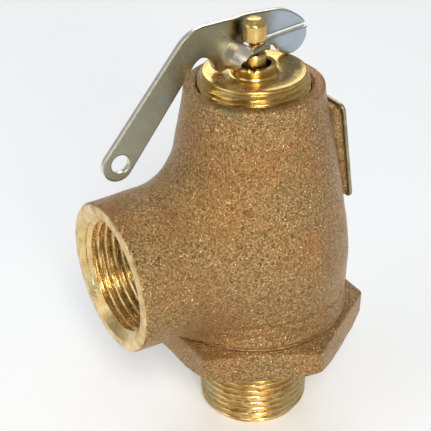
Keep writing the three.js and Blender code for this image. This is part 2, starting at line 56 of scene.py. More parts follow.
# ---- light ----
WORLD_COLOUR = (0.9, 0.95, 1.0, 1)
WORLD_STRENGTH = 0.43
LIGHT_TARGET = (0, 0, 0.055)     # metres, about the middle of the valve
LIGHTS = [                       # name, place, size, power, colour
    ("key", (-0.34, -0.66, 0.72), (0.26, 0.26), 5.7, (1.0, 0.98, 0.94)),
    ("strip", (-0.22, -0.75, 0.2), (0.06, 0.6), 2.0, (1, 1, 1)),
    ("fill", (-0.7, 0.1, 0.4), (0.5, 0.5), 1.0, (1, 1, 1)),
    ("back", (0.35, 0.6, 0.6), (0.5, 0.4), 1.8, (1, 1, 1)),
]

FLOOR_HALF = 3000                # half the floor's side

# ---- how finely surfaces are worked out ----
CASTING_STEP = 0.42
LEVER_STEP = 0.22
PLATE_STEP = 0.16
THREAD_STEP = 0.11

# ---- the casting ----
AXIS_PROFILE = [                 # radius and height of the body's outside
    (22.3, 28.5), (21.8, 30.7), (21.35, 33.0), (21.3, 35.0), (21.55, 38.6), (21.6, 41.0), (21.65, 44.5),
    (21.45, 48.0), (21.0, 52.0), (20.35, 55.5), (19.6, 60.0), (18.7, 65.5), (17.85, 69.5),
    (17.05, 73.5), (16.25, 77.5), (15.5, 81.3), (15.1, 84.4), (14.9, 87.0),
]
BODY_BOTTOM = 30.68
BODY_TOP = 85.2
OUTLET_Z = 48.6
OUTLET_FACE_X = -36.9
BOSS_RADIUS = 16.8
BOSS_FILLET = 7.0
CREASE_Z = 36.0
CREASE_DEPTH = 0.3
OUTLET_MOUTH = 14.4
OUTLET_CREST = 12.2
OUTLET_THREAD = 15.0
OUTLET_DEPTH = 1.0
OUTLET_PASSAGE = 11.0
PIPE_PITCH = 1.814
PIPE_TAPER = 1 / 32
SOCKET_RADIUS = 16.65
CHAMBER_RADIUS = 17.6
GUIDE_RADIUS = 11.3
TOP_BORE = 12.25

# ---- the foot ----
PIPE_RADIUS = 13.335
PIPE_DEPTH = 1.1
PIPE_START = 1.1
PIPE_END = 20.3
INLET_BORE = 8.6
HEX_FLATS = 45.3
HEX_LOW = 22.3
HEX_HIGH = 29.8
HEX_CORNER = 1.7
HEX_TURN = math.radians(-147.3)
HEX_CHAMFER = 0.62
SEAM_Z = 30.1
NOZZLE_RADIUS = 10.6
SEAT_Z = 44.0

# ---- the nameplate ----
PLATE_PLACE = (20.2, 0.0, 65.9)
PLATE_TILT = math.radians(8.1)
PLATE_WIDTH = 16.0
PLATE_HEIGHT = 24.4
PLATE_THICK = 0.8
PLATE_SCREW = 9.6

# ---- the adjusting plug ----
PLUG_CREST = 12.0
PLUG_DEPTH = 0.75
PLUG_PITCH = 1.27
PLUG_LOW = 77.3
PLUG_TOP = 88.1
HUB_RADIUS = 4.7
HUB_TOP = 89.7
HUB_BORE = 3.6

# ---- the stem ----
STEM_RADIUS = 2.57
STEM_LOW = 49.4
STEM_TOP = 99.5
NECK_RADIUS = 1.2
NECK_LOW = 92.0
NECK_HIGH = 94.7

# ---- the spring ----
SPRING_LOW = 58.78
SPRING_HIGH = 75.52
SPRING_RADIUS = 7.9
SPRING_WIRE = 1.35
SPRING_TURNS = 5

# ---- the lever ----
SHEET = 1.4
SHEET_MIDDLE = 3.0               # y of the flat sheet's middle
LEVER_FOOT = 88.14
ARM_END = (-31.6, 73.2)
ARM_END_RADIUS = 3.5
PULL_HOLE = (-31.1, 73.5)
PULL_HOLE_RADIUS = 2.05
LOBE_RADIUS = 4.16
LOBE = (10.8, LEVER_FOOT + LOBE_RADIUS)
HEAD_BACK = 1.2                  # how far the head's upper half stands behind the stem
STRIP_FORWARD = 5.2              # how far the strip stands in front of the stem
STRIP_END = (-2.0, 90.8)         # middle of the rounded crease at the strip's left end
STRIP_END_RADIUS = 4.1           # the crease, where the sheet starts to come forward
STRIP_FULL_RADIUS = 2.1          # inside this the strip is fully forward
STRIP_BACK = (1.2, 5.2)          # x range where the strip returns to the sheet
SLIT_GAP = 0.35
SLIT_START = -5.6                # left of this x the slit closes
SLIT_LINE = [                    # where the slit runs, x and z
    (-7.0, 94.55), (-3.2, 94.55), (-1.6, 94.15), (1.2, 94.35), (5.5, 92.9), (17.0, 93.9),
]


# ---------------------------------------------------------------- fields and meshes
def smooth_min(a, b, k):
    share = np.clip(0.5 + 0.5 * (b - a) / k, 0, 1)
    return b + (a - b) * share - k * share * (1 - share)


def smooth_max(a, b, k):
    return -smooth_min(-a, -b, k)


def smooth_step(value, low, high):
    t = np.clip((value - low) / (high - low), 0, 1)
    return t * t * (3 - 2 * t)


def curve_through(points, count=400):
    """A smooth curve through the points, as dense arrays of the first and second values."""
    p = np.array(points, float)
    p = np.vstack([2 * p[0] - p[1], p, 2 * p[-1] - p[-2]])
    t = np.linspace(0, len(points) - 1 - 1e-9, count)
    k = t.astype(int)
    u = (t - k)[:, None]
    a, b, c, d = p[k], p[k + 1], p[k + 2], p[k + 3]
    bent = 0.5 * (2 * b + (c - a) * u + (2 * a - 5 * b + 4 * c - d) * u ** 2
                  + (3 * b - a - 3 * c + d) * u ** 3)
    return bent[:, 0], bent[:, 1]


def new_object(name, points, faces, smooth=True):
    """A mesh object from points in millimetres and faces that all have the same number of corners."""
    points = np.asarray(points, np.float64)
    faces = np.asarray(faces, np.int32)
    mesh = bpy.data.meshes.new(name)
    mesh.vertices.add(len(points))
    mesh.vertices.foreach_set("co", (points * MM).astype(np.float32).ravel())
    mesh.loops.add(faces.size)
    mesh.loops.foreach_set("vertex_index", faces.ravel())
    mesh.polygons.add(len(faces))
    mesh.polygons.foreach_set("loop_start", np.arange(0, faces.size, faces.shape[1], dtype=np.int32))
    mesh.polygons.foreach_set("use_smooth", np.full(len(faces), smooth))
    mesh.update(calc_edges=True)
    made = bpy.data.objects.new(name, mesh)
    bpy.context.scene.collection.objects.link(made)
    return made


def surface_net(field, low, high, step):
    """Points and four-cornered faces of the surface where field is zero. field is negative inside."""
    axes = [np.arange(a - 1.5 * step, b + 2.5 * step, step) for a, b in zip(low, high)]
    values = field(*np.meshgrid(*axes, indexing="ij"))
    total = np.zeros([n - 1 for n in values.shape] + [3])
    count = np.zeros([n - 1 for n in values.shape])
    edges = []
    for axis in range(3):
        near = [slice(None)] * 3
        far = [slice(None)] * 3
        near[axis] = slice(0, -1)
        far[axis] = slice(1, None)
        a = values[tuple(near)]
        b = values[tuple(far)]
        crossed = (a < 0) != (b < 0)
        at = np.argwhere(crossed)
        point = at.astype(float)
        point[:, axis] += a[crossed] / (a[crossed] - b[crossed])
        u, v = [c for c in range(3) if c != axis]
        cells = []
        for du, dv in ((-1, -1), (0, -1), (0, 0), (-1, 0)):
            cell = at.copy()
            cell[:, u] += du
            cell[:, v] += dv
            cells.append(cell)
            np.add.at(total, tuple(cell.T), point)
            np.add.at(count, tuple(cell.T), 1)
        outward = (a[crossed] < 0) != (axis == 1)
        edges.append((cells, outward))
    number = np.full(count.shape, -1)
    active = count > 0
    number[active] = np.arange(active.sum())
    points = total[active] / count[active][:, None]
    points = points * step + np.array([a[0] for a in axes])
    faces = []
    for cells, outward in edges:
        quad = np.stack([number[tuple(c.T)] for c in cells], axis=1)
        quad[~outward] = quad[~outward][:, ::-1]
        faces.append(quad)
    return settle(points, field, step), np.vstack(faces)


def settle(points, field, step):
    """Moves the points onto the surface itself."""
    small = 0.02
    for _ in range(3):
        x, y, z = points.T
        value = field(x, y, z)
        slope = np.stack([
            field(x + small, y, z) - field(x - small, y, z),
            field(x, y + small, z) - field(x, y - small, z),
            field(x, y, z + small) - field(x, y, z - small),
        ], axis=1) / (2 * small)
        size = np.maximum((slope ** 2).sum(axis=1), 0.25)
        move = -(value / size)[:, None] * slope
        points = points + np.clip(move, -0.3 * step, 0.3 * step)
    return points


def turned(profile, around, closed=False, ripple=None):
    """Points and triangles of a profile of [radius, height] turned round Z.
    ripple(angle, height, radius) gives the radius there. An open profile ends on the axis."""
    profile = np.array(profile, float)
    angle = np.linspace(0, 2 * math.pi, around, endpoint=False)
    radius = np.repeat(profile[:, :1], around, axis=1)
    height = np.repeat(profile[:, 1:], around, axis=1)
    if ripple is not None:
        radius = ripple(angle[None, :], height, radius)
    points = np.stack([radius * np.cos(angle), radius * np.sin(angle), height], axis=2).reshape(-1, 3)
    rows = len(profile)
    down = np.arange(rows if closed else rows - 1)
    i, j = np.meshgrid(down, np.arange(around), indexing="ij")
    a = i * around + j
    b = i * around + (j + 1) % around
    c = ((i + 1) % rows) * around + (j + 1) % around
    d = ((i + 1) % rows) * around + j
    faces = [np.stack([a, b, c], axis=2).reshape(-1, 3), np.stack([a, c, d], axis=2).reshape(-1, 3)]
    if not closed:
        ends = len(points)
        points = np.vstack([points, [0, 0, profile[0, 1]], [0, 0, profile[-1, 1]]])
        j = np.arange(around)
        k = (j + 1) % around
        last = (rows - 1) * around
        faces.append(np.stack([k, j, np.full(around, ends)], axis=1))
        faces.append(np.stack([last + j, last + k, np.full(around, ends + 1)], axis=1))
    return points, np.vstack(faces)


def dense(profile, step):
    """The same profile with points no further apart than step."""
    out = []
    for (r0, z0), (r1, z1) in zip(profile[:-1], profile[1:]):
        pieces = max(1, int(math.ceil(math.hypot(r1 - r0, z1 - z0) / step)))
        for k in range(pieces):
            out.append((r0 + (r1 - r0) * k / pieces, z0 + (z1 - z0) * k / pieces))
    out.append(profile[-1])
    return out


def towards_outlet(points):
    """Points made round Z, turned so that Z points out of the side outlet."""
    x, y, z = np.asarray(points).T
    return np.stack([-z, y, x + OUTLET_Z], axis=1)


def on_plate(points):
    """Points made round X at the plate's middle, tilted onto the nameplate's place."""
    x, y, z = np.asarray(points).T
    c, s = math.cos(PLATE_TILT), math.sin(PLATE_TILT)
    return np.stack([c * x - s * z, y, s * x + c * z], axis=1) + np.array(PLATE_PLACE)


def combine(kept, other, operation):
    """kept after a boolean with other, which is used up."""
    modifier = kept.modifiers.new("cut", "BOOLEAN")
    modifier.operation = operation
    modifier.solver = "MANIFOLD"
    modifier.object = other
    bpy.context.view_layer.update()
    evaluated = kept.evaluated_get(bpy.context.evaluated_depsgraph_get())
    result = bpy.data.meshes.new_from_object(evaluated)
    kept.modifiers.clear()
    kept.data = result
    bpy.data.objects.remove(other)
    if len(result.polygons) == 0:
        raise RuntimeError("a boolean left nothing of " + kept.name)
    return kept


def thread_height(phase):
    """0 at a thread's root and 1 at its crest, over one turn's phase."""
    share = np.abs(2 * (phase - np.floor(phase)) - 1)
    return np.clip((0.94 - share) / 0.84, 0, 1)


def soften(obj, angle=32):
    """Smooth shading that keeps edges sharper than this angle."""
    obj.data.polygons.foreach_set("use_smooth", np.ones(len(obj.data.polygons), bool))
    obj.data.set_sharp_from_angle(angle=math.radians(angle))


def paint_where(obj, materials, choose):
    """Gives each face the material whose number choose(centres, normals) says, in millimetres."""
    obj.data.materials.clear()
    for material in materials:
        obj.data.materials.append(material)
    count = len(obj.data.polygons)
    centres = np.zeros(count * 3, np.float32)
    normals = np.zeros(count * 3, np.float32)
    obj.data.polygons.foreach_get("center", centres)
    obj.data.polygons.foreach_get("normal", normals)
    number = choose(centres.reshape(-1, 3) / MM, normals.reshape(-1, 3))
    obj.data.polygons.foreach_set("material_index", number.astype(np.int32))


def install(obj, body, slot, *nodes):
    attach(obj, body)
    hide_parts(*nodes)
    return obj


# ---------------------------------------------------------------- materials
class Paint:
    """One node material, with short calls for the nodes that the finishes share."""

    def __init__(self, name, **constants):
        self.material = bpy.data.materials.new(name)
        self.material.use_nodes = True
        self.tree = self.material.node_tree
        self.tree.nodes.clear()
        self.shader = self.node("ShaderNodeBsdfPrincipled")
        for socket, value in constants.items():
            self.shader.inputs[socket.replace("_", " ")].default_value = value
        output = self.node("ShaderNodeOutputMaterial")
        self.tree.links.new(self.shader.outputs[0], output.inputs[0])
        coordinates = self.node("ShaderNodeTexCoord")
        self.normal = coordinates.outputs["Normal"]
        scaled = self.node("ShaderNodeVectorMath", operation="SCALE")
        self.tree.links.new(coordinates.outputs["Object"], scaled.inputs[0])
        scaled.inputs["Scale"].default_value = 1 / MM
        self.place = scaled.outputs[0]
        split = self.node("ShaderNodeSeparateXYZ")
        self.tree.links.new(self.place, split.inputs[0])
        self.x, self.y, self.z = split.outputs

    def node(self, kind, **settings):
        made = self.tree.nodes.new(kind)
        for key, value in settings.items():
            setattr(made, key, value)
        return made

    def put(self, socket, value):
        if isinstance(value, bpy.types.NodeSocket):
            self.tree.links.new(value, socket)
        elif isinstance(value, tuple) and len(value) == 3 and socket.type == "RGBA":
            socket.default_value = (*value, 1)
        else:
            socket.default_value = value

    def math(self, operation, a, b=0.0, clamp=False):
        made = self.node("ShaderNodeMath", operation=operation, use_clamp=clamp)
        self.put(made.inputs[0], a)
        self.put(made.inputs[1], b)
        return made.outputs[0]

    def stretched(self, x, y, z):
        made = self.node("ShaderNodeVectorMath", operation="MULTIPLY")
        self.put(made.inputs[0], self.place)
        made.inputs[1].default_value = (x, y, z)
        return made.outputs[0]

    def noise(self, scale, detail=2.0, roughness=0.5, place=None, offset=0.0):
        made = self.node("ShaderNodeTexNoise", noise_dimensions="4D")
        self.put(made.inputs["Vector"], place or self.place)
        made.inputs["W"].default_value = offset
        made.inputs["Scale"].default_value = scale
        made.inputs["Detail"].default_value = detail
        made.inputs["Roughness"].default_value = roughness
        return made.outputs["Factor"] if "Factor" in made.outputs else made.outputs["Fac"]

    def between(self, value, low, high, to_low=0.0, to_high=1.0):
        made = self.node("ShaderNodeMapRange", interpolation_type="SMOOTHSTEP")
        self.put(made.inputs["Value"], value)
        made.inputs["From Min"].default_value = low
        made.inputs["From Max"].default_value = high
        made.inputs["To Min"].default_value = to_low
        made.inputs["To Max"].default_value = to_high
        return made.outputs["Result"]

    def mix(self, share, a, b):
        made = self.node("ShaderNodeMix", data_type="RGBA")
        self.put(made.inputs["Factor"], share)
        self.put([s for s in made.inputs if s.name == "A" and s.type == "RGBA"][0], a)
        self.put([s for s in made.inputs if s.name == "B" and s.type == "RGBA"][0], b)
        return [s for s in made.outputs if s.type == "RGBA"][0]

    def away_from_axis(self, x=None, y=None):
        """Distance from the Z axis, or from the axis that the two given values run across."""
        a = self.math("POWER", x or self.x, 2.0)
        b = self.math("POWER", y or self.y, 2.0)
        return self.math("SQRT", self.math("ADD", a, b))

    def bump(self, height, distance, strength=1.0, under=None):
        made = self.node("ShaderNodeBump")
        made.inputs["Strength"].default_value = strength
        made.inputs["Distance"].default_value = distance * MM
        self.put(made.inputs["Height"], height)
        if under is not None:
            self.put(made.inputs["Normal"], under)
        return made.outputs["Normal"]

    def set(self, **values):
        for socket, value in values.items():
            self.put(self.shader.inputs[socket.replace("_", " ")], value)
        return self.material


def srgb(r, g, b):
    """A colour given as 0-255 screen values, in linear light."""
    def linear(v):
        v = v / 255
        return v / 12.92 if v <= 0.04045 else ((v + 0.055) / 1.055) ** 2.4
    return (linear(r), linear(g), linear(b))


def cast_bronze():
    p = Paint("cast_bronze", Metallic=0.75)
    grain = p.noise(1.9, 3.0, 0.65)
    fine = p.noise(5.0, 2.0, 0.6, offset=3.0)
    patch = p.noise(0.08, 3.0, 0.55, offset=7.0)
    pits = p.between(p.noise(1.7, 2.0, 0.6, offset=11.0), 0.6, 0.72)
    # painted glints: small near-white specks in the colour stand for light glinting off the casting's
    # grains, with the roughness lowered there too
    painted_glint = p.between(p.noise(3.4, 1.0, 0.5, offset=19.0), 0.6, 0.72)
    stain = p.between(p.noise(0.13, 3.0, 0.6, offset=29.0), 0.62, 0.72)
    colour = p.mix(p.between(grain, 0.32, 0.68), srgb(112, 82, 46), srgb(190, 152, 98))
    colour = p.mix(p.between(patch, 0.38, 0.66, 0.0, 0.45), colour, srgb(166, 110, 56))
    colour = p.mix(painted_glint, colour, srgb(244, 214, 150))
    colour = p.mix(p.math("MULTIPLY", pits, 0.4), colour, srgb(74, 50, 26))
    colour = p.mix(p.math("MULTIPLY", stain, 0.5), colour, srgb(98, 104, 70))
    rough = p.between(fine, 0.3, 0.7, 0.28, 0.44)
    rough = p.math("SUBTRACT", rough, p.math("MULTIPLY", painted_glint, 0.12))
    height = p.math("ADD", grain, p.math("MULTIPLY", fine, 0.5))
    height = p.math("SUBTRACT", height, p.math("MULTIPLY", pits, 0.6))
    height = p.math("MULTIPLY", height, p.between(p.x, 2.0, 16.0, 1.0, 0.45))
    return p.set(Base_Color=colour, Roughness=rough, Normal=p.bump(height, 0.42, 1.0))


def machined_bronze():
    p = Paint("machined_bronze", Metallic=1.0)
    from_outlet = p.away_from_axis(p.y, p.math("SUBTRACT", p.z, OUTLET_Z))
    rings = p.math("SINE", p.math("MULTIPLY", from_outlet, 22.0))
    patch = p.noise(0.35, 3.0, 0.6)
    colour = p.mix(p.between(patch, 0.3, 0.7), srgb(196, 158, 100), srgb(238, 212, 158))
    scratch = p.noise(3.0, 2.0, 0.6, place=p.stretched(0.3, 1.0, 1.0))
    height = p.math("ADD", p.math("MULTIPLY", rings, 0.12), p.math("MULTIPLY", scratch, 0.3))
    return p.set(Base_Color=colour, Roughness=p.between(scratch, 0.3, 0.7, 0.22, 0.4),
                 Normal=p.bump(height, 0.05, 0.6))


def thread_bronze():
    p = Paint("thread_bronze", Metallic=1.0)
    patch = p.noise(0.3, 3.0, 0.6)
    streak = p.noise(1.2, 2.0, 0.5, place=p.stretched(0.5, 0.5, 2.5))
    colour = p.mix(p.between(patch, 0.3, 0.7), srgb(206, 170, 108), srgb(236, 212, 156))
    colour = p.mix(p.between(streak, 0.6, 0.85, 0.0, 0.5), colour, srgb(160, 112, 54))
    return p.set(Base_Color=colour, Roughness=p.between(streak, 0.3, 0.7, 0.2, 0.36),
                 Normal=p.bump(streak, 0.03, 0.4))


def turned_brass():
    p = Paint("turned_brass", Metallic=1.0)
    radius = p.away_from_axis()
    rings = p.math("SINE", p.math("MULTIPLY", p.math("ADD", radius, p.math("MULTIPLY", p.z, 0.8)), 26.0))
    patch = p.noise(0.28, 3.0, 0.55)
    spots = p.between(p.noise(1.6, 2.0, 0.6, offset=5.0), 0.64, 0.74)
    colour = p.mix(p.between(patch, 0.3, 0.7), srgb(192, 156, 88), srgb(222, 192, 124))
    colour = p.mix(p.math("MULTIPLY", spots, 0.5), colour, srgb(150, 116, 60))
    height = p.math("ADD", p.math("MULTIPLY", rings, 0.25), p.math("MULTIPLY", patch, 0.8))
    return p.set(Base_Color=colour, Roughness=p.between(patch, 0.3, 0.75, 0.2, 0.34),
                 Normal=p.bump(height, 0.03, 0.6))


def zinc_sheet():
    """Zinc plating with its faint rainbow, with a painted highlight on the cut edges of the sheet."""
    p = Paint("zinc_sheet", Metallic=1.0)
    across = p.node("ShaderNodeSeparateXYZ")
    p.tree.links.new(p.normal, across.inputs[0])
    flat = p.math("ABSOLUTE", across.outputs[1])
    cloud = p.noise(0.35, 4.0, 0.6, offset=4.0)
    colour = p.mix(p.between(p.z, 74.0, 97.0), srgb(146, 144, 126), srgb(132, 126, 102))
    # painted light, partly a bluish zinc tint: the lobe at the head's right is painted lighter and
    # bluer, standing for its bent plane catching more light
    colour = p.mix(p.between(p.x, 4.0, 9.0), colour, srgb(172, 182, 190))
    colour = p.mix(p.between(cloud, 0.56, 0.75, 0.0, 0.6), colour, srgb(166, 158, 118))
    colour = p.mix(p.between(p.noise(0.16, 2.0, 0.5, offset=13.0), 0.62, 0.72, 0.0, 0.5), colour,
                   srgb(120, 150, 168))
    # painted highlight: faces turned away from the sheet's flat sides, its cut edges, are painted pale
    # cream
    colour = p.mix(p.between(flat, 0.25, 0.8, 1.0, 0.0), colour, srgb(232, 222, 204))
    grain = p.noise(2.4, 3.0, 0.6, place=p.stretched(1.0, 1.0, 1.6))
    return p.set(Base_Color=colour, Roughness=p.between(cloud, 0.3, 0.7, 0.24, 0.4),
                 Normal=p.bump(p.math("ADD", cloud, p.math("MULTIPLY", grain, 0.3)), 0.12, 0.5))


def zinc_small():
    p = Paint("zinc_small", Metallic=1.0)
    cloud = p.noise(1.2, 3.0, 0.6)
    colour = p.mix(p.between(cloud, 0.3, 0.7), srgb(150, 150, 138), srgb(202, 200, 186))
    return p.set(Base_Color=colour, Roughness=p.between(cloud, 0.3, 0.7, 0.26, 0.42),
                 Normal=p.bump(cloud, 0.06, 0.6))


def spring_wire():
    p = Paint("spring_wire", Metallic=1.0)
    streak = p.noise(2.0, 3.0, 0.6, place=p.stretched(0.6, 0.6, 3.0))
    colour = p.mix(p.between(streak, 0.3, 0.7), srgb(118, 118, 120), srgb(176, 176, 178))
    return p.set(Base_Color=colour, Roughness=p.between(streak, 0.3, 0.7, 0.25, 0.42),
                 Normal=p.bump(streak, 0.04, 0.6))


def plate_finish():
    p = Paint("plate_finish", Metallic=0.85)
    brushed = p.noise(1.6, 3.0, 0.6, place=p.stretched(1.0, 6.0, 0.25))
    wear = p.between(p.noise(0.5, 3.0, 0.6, offset=6.0), 0.58, 0.72)
    colour = p.mix(p.between(brushed, 0.3, 0.7), srgb(128, 122, 98), srgb(168, 160, 132))
    colour = p.mix(p.math("MULTIPLY", wear, 0.6), colour, srgb(96, 90, 70))
    return p.set(Base_Color=colour, Roughness=p.between(brushed, 0.3, 0.7, 0.3, 0.46),
                 Normal=p.bump(brushed, 0.04, 0.6))


def seat_plastic():
    p = Paint("seat_plastic", Metallic=0.0)
    cloud = p.noise(0.8, 3.0, 0.6)
    colour = p.mix(p.between(cloud, 0.3, 0.7), srgb(228, 222, 208), srgb(244, 240, 230))
    return p.set(Base_Color=colour, Roughness=p.between(cloud, 0.3, 0.7, 0.4, 0.55),
                 Normal=p.bump(cloud, 0.05, 0.5))


def gasket_copper():
    p = Paint("gasket_copper", Metallic=1.0)
    cloud = p.noise(1.0, 3.0, 0.6)
    colour = p.mix(p.between(cloud, 0.3, 0.7), srgb(214, 176, 126), srgb(246, 224, 184))
    return p.set(Base_Color=colour, Roughness=p.between(cloud, 0.3, 0.7, 0.26, 0.42),
                 Normal=p.bump(cloud, 0.04, 0.5))


def floor_paint():
    p = Paint("floor_paint", Metallic=0.0)
    cloud = p.noise(0.02, 2.0, 0.5)
    colour = p.mix(cloud, (0.94, 0.94, 0.94), (0.97, 0.97, 0.97))
    return p.set(Base_Color=colour, Roughness=p.between(cloud, 0.3, 0.7, 0.7, 0.8))


# ---------------------------------------------------------------- the casting
OUTSIDE_R, OUTSIDE_Z = curve_through(AXIS_PROFILE)


def unevenness(x, y, z):
    """The slight waviness of a sand casting."""
    return 0.07 * (np.sin(0.55 * x + 0.31 * z + 1.0) * np.sin(0.47 * y - 0.23 * z)
                   + 0.6 * np.sin(0.9 * z + 0.7 * y) * np.sin(0.8 * x + 2.0))


def pad_field(x, y, z):
    """The raised pad behind the nameplate."""
    c, s = math.cos(PLATE_TILT), math.sin(PLATE_TILT)
    dx = x - PLATE_PLACE[0]
    dz = z - PLATE_PLACE[2]
    u = c * dx + s * dz
    w = -s * dx + c * dz
    corner = 2.2
    a = np.abs(y) - (PLATE_WIDTH / 2 - 0.5 - corner)
    b = np.abs(w) - (PLATE_HEIGHT / 2 - 0.5 - corner)
    outline = np.hypot(np.maximum(a, 0), np.maximum(b, 0)) + np.minimum(np.maximum(a, b), 0) - corner
    depth = np.abs(u + PLATE_THICK + 0.04 + 6) - 6
    return smooth_max(outline, depth, 0.25)


def body_field(x, y, z):
    radius = np.hypot(x, y)
    shell = (radius - np.interp(z, OUTSIDE_Z, OUTSIDE_R)) * 0.98
    from_axis = np.hypot(y, z - OUTLET_Z)
    flare = 0.2 * smooth_step(x, -31, -24)
    boss = smooth_max(from_axis - BOSS_RADIUS - flare, x, 1.0)
    outside = smooth_min(shell, boss, BOSS_FILLET)
    crease = CREASE_DEPTH * np.exp(-((z - CREASE_Z) / 0.55) ** 2) * smooth_step(x, -19, -12)
    outside = outside + crease + unevenness(x, y, z)
    outside = smooth_min(outside, pad_field(x, y, z), 1.2)
    outside = smooth_max(outside, OUTLET_FACE_X - x, 0.9)
    outside = smooth_max(outside, z - BODY_TOP, 0.7)
    return smooth_max(outside, BODY_BOTTOM - z, 0.6)


def outlet_cutter():
    length = -OUTLET_FACE_X
    profile = dense([
        (OUTLET_PASSAGE, 3.0),
        (OUTLET_PASSAGE, length - OUTLET_THREAD - 1.6),
        (OUTLET_CREST - 0.5, length - OUTLET_THREAD - 0.4),
        (OUTLET_CREST, length - 1.6),
        (OUTLET_MOUTH, length + 0.02),
        (OUTLET_MOUTH, length + 2.0),
    ], THREAD_STEP)

    def helix(angle, height, radius):
        depth = length - height
        in_thread = smooth_step(height, length - OUTLET_THREAD, length - OUTLET_THREAD + 1.5)
        crest = OUTLET_CREST - PIPE_TAPER * depth
        cut = crest + OUTLET_DEPTH * thread_height(height / PIPE_PITCH - angle / (2 * math.pi))
        return np.where(in_thread > 0, np.maximum(radius, radius + (cut - radius) * in_thread), radius)

    points, faces = turned(profile, 144, ripple=helix)
    return new_object("outlet_cutter", towards_outlet(points), faces)


def inside_cutter():
    points, faces = turned(dense([
        (SOCKET_RADIUS, BODY_BOTTOM - 1), (SOCKET_RADIUS, 39.6), (CHAMBER_RADIUS, 41.0),
        (CHAMBER_RADIUS, 51.0), (16.6, 53.5), (GUIDE_RADIUS + 2.4, 56.6), (GUIDE_RADIUS, 56.6),
        (GUIDE_RADIUS, 75.9), (TOP_BORE, 76.8), (TOP_BORE, BODY_TOP - 0.6),
        (TOP_BORE + 0.7, BODY_TOP + 0.1), (TOP_BORE + 0.7, BODY_TOP + 1),
    ], 1.5), 128)
    return new_object("inside_cutter", points, faces)


def choose_body_finish(centre, normal):
    x, y, z = centre.T
    from_outlet = np.hypot(y, z - OUTLET_Z)
    radius = np.hypot(x, y)
    chosen = np.zeros(len(x))
    face = (x < OUTLET_FACE_X + 0.35) & (np.abs(normal[:, 0]) > 0.75)
    bore = (from_outlet < OUTLET_CREST + OUTLET_DEPTH + 0.3) & (x < -20)
    upper_bore = (radius < TOP_BORE + 0.4) & (z > 53)
    mouth = (from_outlet < OUTLET_MOUTH + 0.2) & (x < OUTLET_FACE_X + 2.2)
    chosen[face] = 1
    chosen[bore | upper_bore | mouth] = 2
    return chosen


def body_casting():
    low = (-37.2, -22.5, BODY_BOTTOM - 0.4)
    high = (22.6, 22.5, BODY_TOP + 0.4)
    points, faces = surface_net(body_field, low, high, CASTING_STEP)
    made = new_object("body_casting", points, faces)
    combine(made, inside_cutter(), "DIFFERENCE")
    combine(made, outlet_cutter(), "DIFFERENCE")
    soften(made)
    paint_where(made, [CAST, MACHINED, THREADED], choose_body_finish)
    return install(made, "valve", "cast_bronze", "body")


# ---------------------------------------------------------------- the foot
def hexagon_field(x, y, z):
    """A hexagon with slightly rounded corners, chamfered from above and below."""
    inner = HEX_FLATS / 2 - HEX_CORNER
    side = inner * math.tan(math.pi / 6)
    flats = np.full(x.shape, -1e3)
    rounded = np.full(x.shape, 1e3)
    for k in range(6):
        turn = HEX_TURN + math.pi / 6 + k * math.pi / 3
        out = x * math.cos(turn) + y * math.sin(turn) - inner
        along = np.clip(-x * math.sin(turn) + y * math.cos(turn), -side, side)
        dx = x - (inner * math.cos(turn) - along * math.sin(turn))
        dy = y - (inner * math.sin(turn) + along * math.cos(turn))
        flats = np.maximum(flats, out)
        rounded = np.minimum(rounded, np.hypot(dx, dy))
    outline = np.where(flats > 0, rounded, flats) - HEX_CORNER
    radius = np.hypot(x, y)
    rise = math.hypot(1, HEX_CHAMFER)
    below = (HEX_LOW + (radius - HEX_FLATS / 2 - 0.9) * HEX_CHAMFER - z) / rise
    above = (z - HEX_HIGH + (radius - HEX_FLATS / 2 + 0.3) * 0.35 * HEX_CHAMFER) / rise
    block = smooth_max(outline, np.maximum(HEX_LOW - z, z - HEX_HIGH), 0.4)
    block = smooth_max(block, below, 0.5)
    return smooth_max(block, above, 0.4)


SHOULDER_R, SHOULDER_Z = curve_through([
    (22.7, 28.0), (22.3, 29.5), (21.9, 30.0), (21.8, 30.4), (21.8, 31.4),
], 120)


def foot_field(x, y, z):
    radius = np.hypot(x, y)
    shoulder = (radius - np.interp(z, SHOULDER_Z, SHOULDER_R)) * 0.72
    shoulder = smooth_max(shoulder, z - SEAM_Z, 0.25)
    shoulder = smooth_max(shoulder, HEX_LOW + 2 - z, 0.5)
    solid = smooth_min(hexagon_field(x, y, z), shoulder, 0.9) + 0.8 * unevenness(x, y, z)
    solid = smooth_max(solid, z - SEAM_Z, 0.2)
    return smooth_max(solid, HEX_LOW - z, 0.3)


def foot_core():
    """The threaded shank below, and the plain spigot and nozzle above, with the waterway."""
    root = PIPE_RADIUS - PIPE_DEPTH
    profile = dense([
        (INLET_BORE, 1.2), (INLET_BORE + 1.4, 0.0), (root - 0.9, 0.0), (root - 0.3, 0.7),
        (root, PIPE_START), (root, PIPE_END), (root + 0.2, PIPE_END + 0.5), (root + 0.2, HEX_LOW - 0.6),
        (root + 1.4, HEX_LOW + 1.0), (16.4, 26.0), (16.4, 39.0), (NOZZLE_RADIUS + 1.5, 39.0),
        (NOZZLE_RADIUS, 40.5), (NOZZLE_RADIUS, SEAT_Z - 1.2), (INLET_BORE + 1.1, SEAT_Z),
        (INLET_BORE, SEAT_Z), (INLET_BORE, 30.0), (INLET_BORE, 15.0),
    ], 0.1)

    def helix(angle, height, radius):
        outer = (radius > root - 0.35) & (radius < root + 0.3) & (height < HEX_LOW - 0.5)
        taper = PIPE_TAPER * np.clip(16 - height, 0, 16)
        fade = smooth_step(height, 0.2, 2.2) * smooth_step(PIPE_END + 0.6 - height, 0.0, 1.8)
        crest = PIPE_DEPTH * thread_height(height / PIPE_PITCH - angle / (2 * math.pi)) * fade
        return np.where(outer, radius - taper * smooth_step(height, -0.1, 1.2) + crest, radius)

    points, faces = turned(profile, 144, closed=True, ripple=helix)
    return new_object("inlet_foot", points, faces)


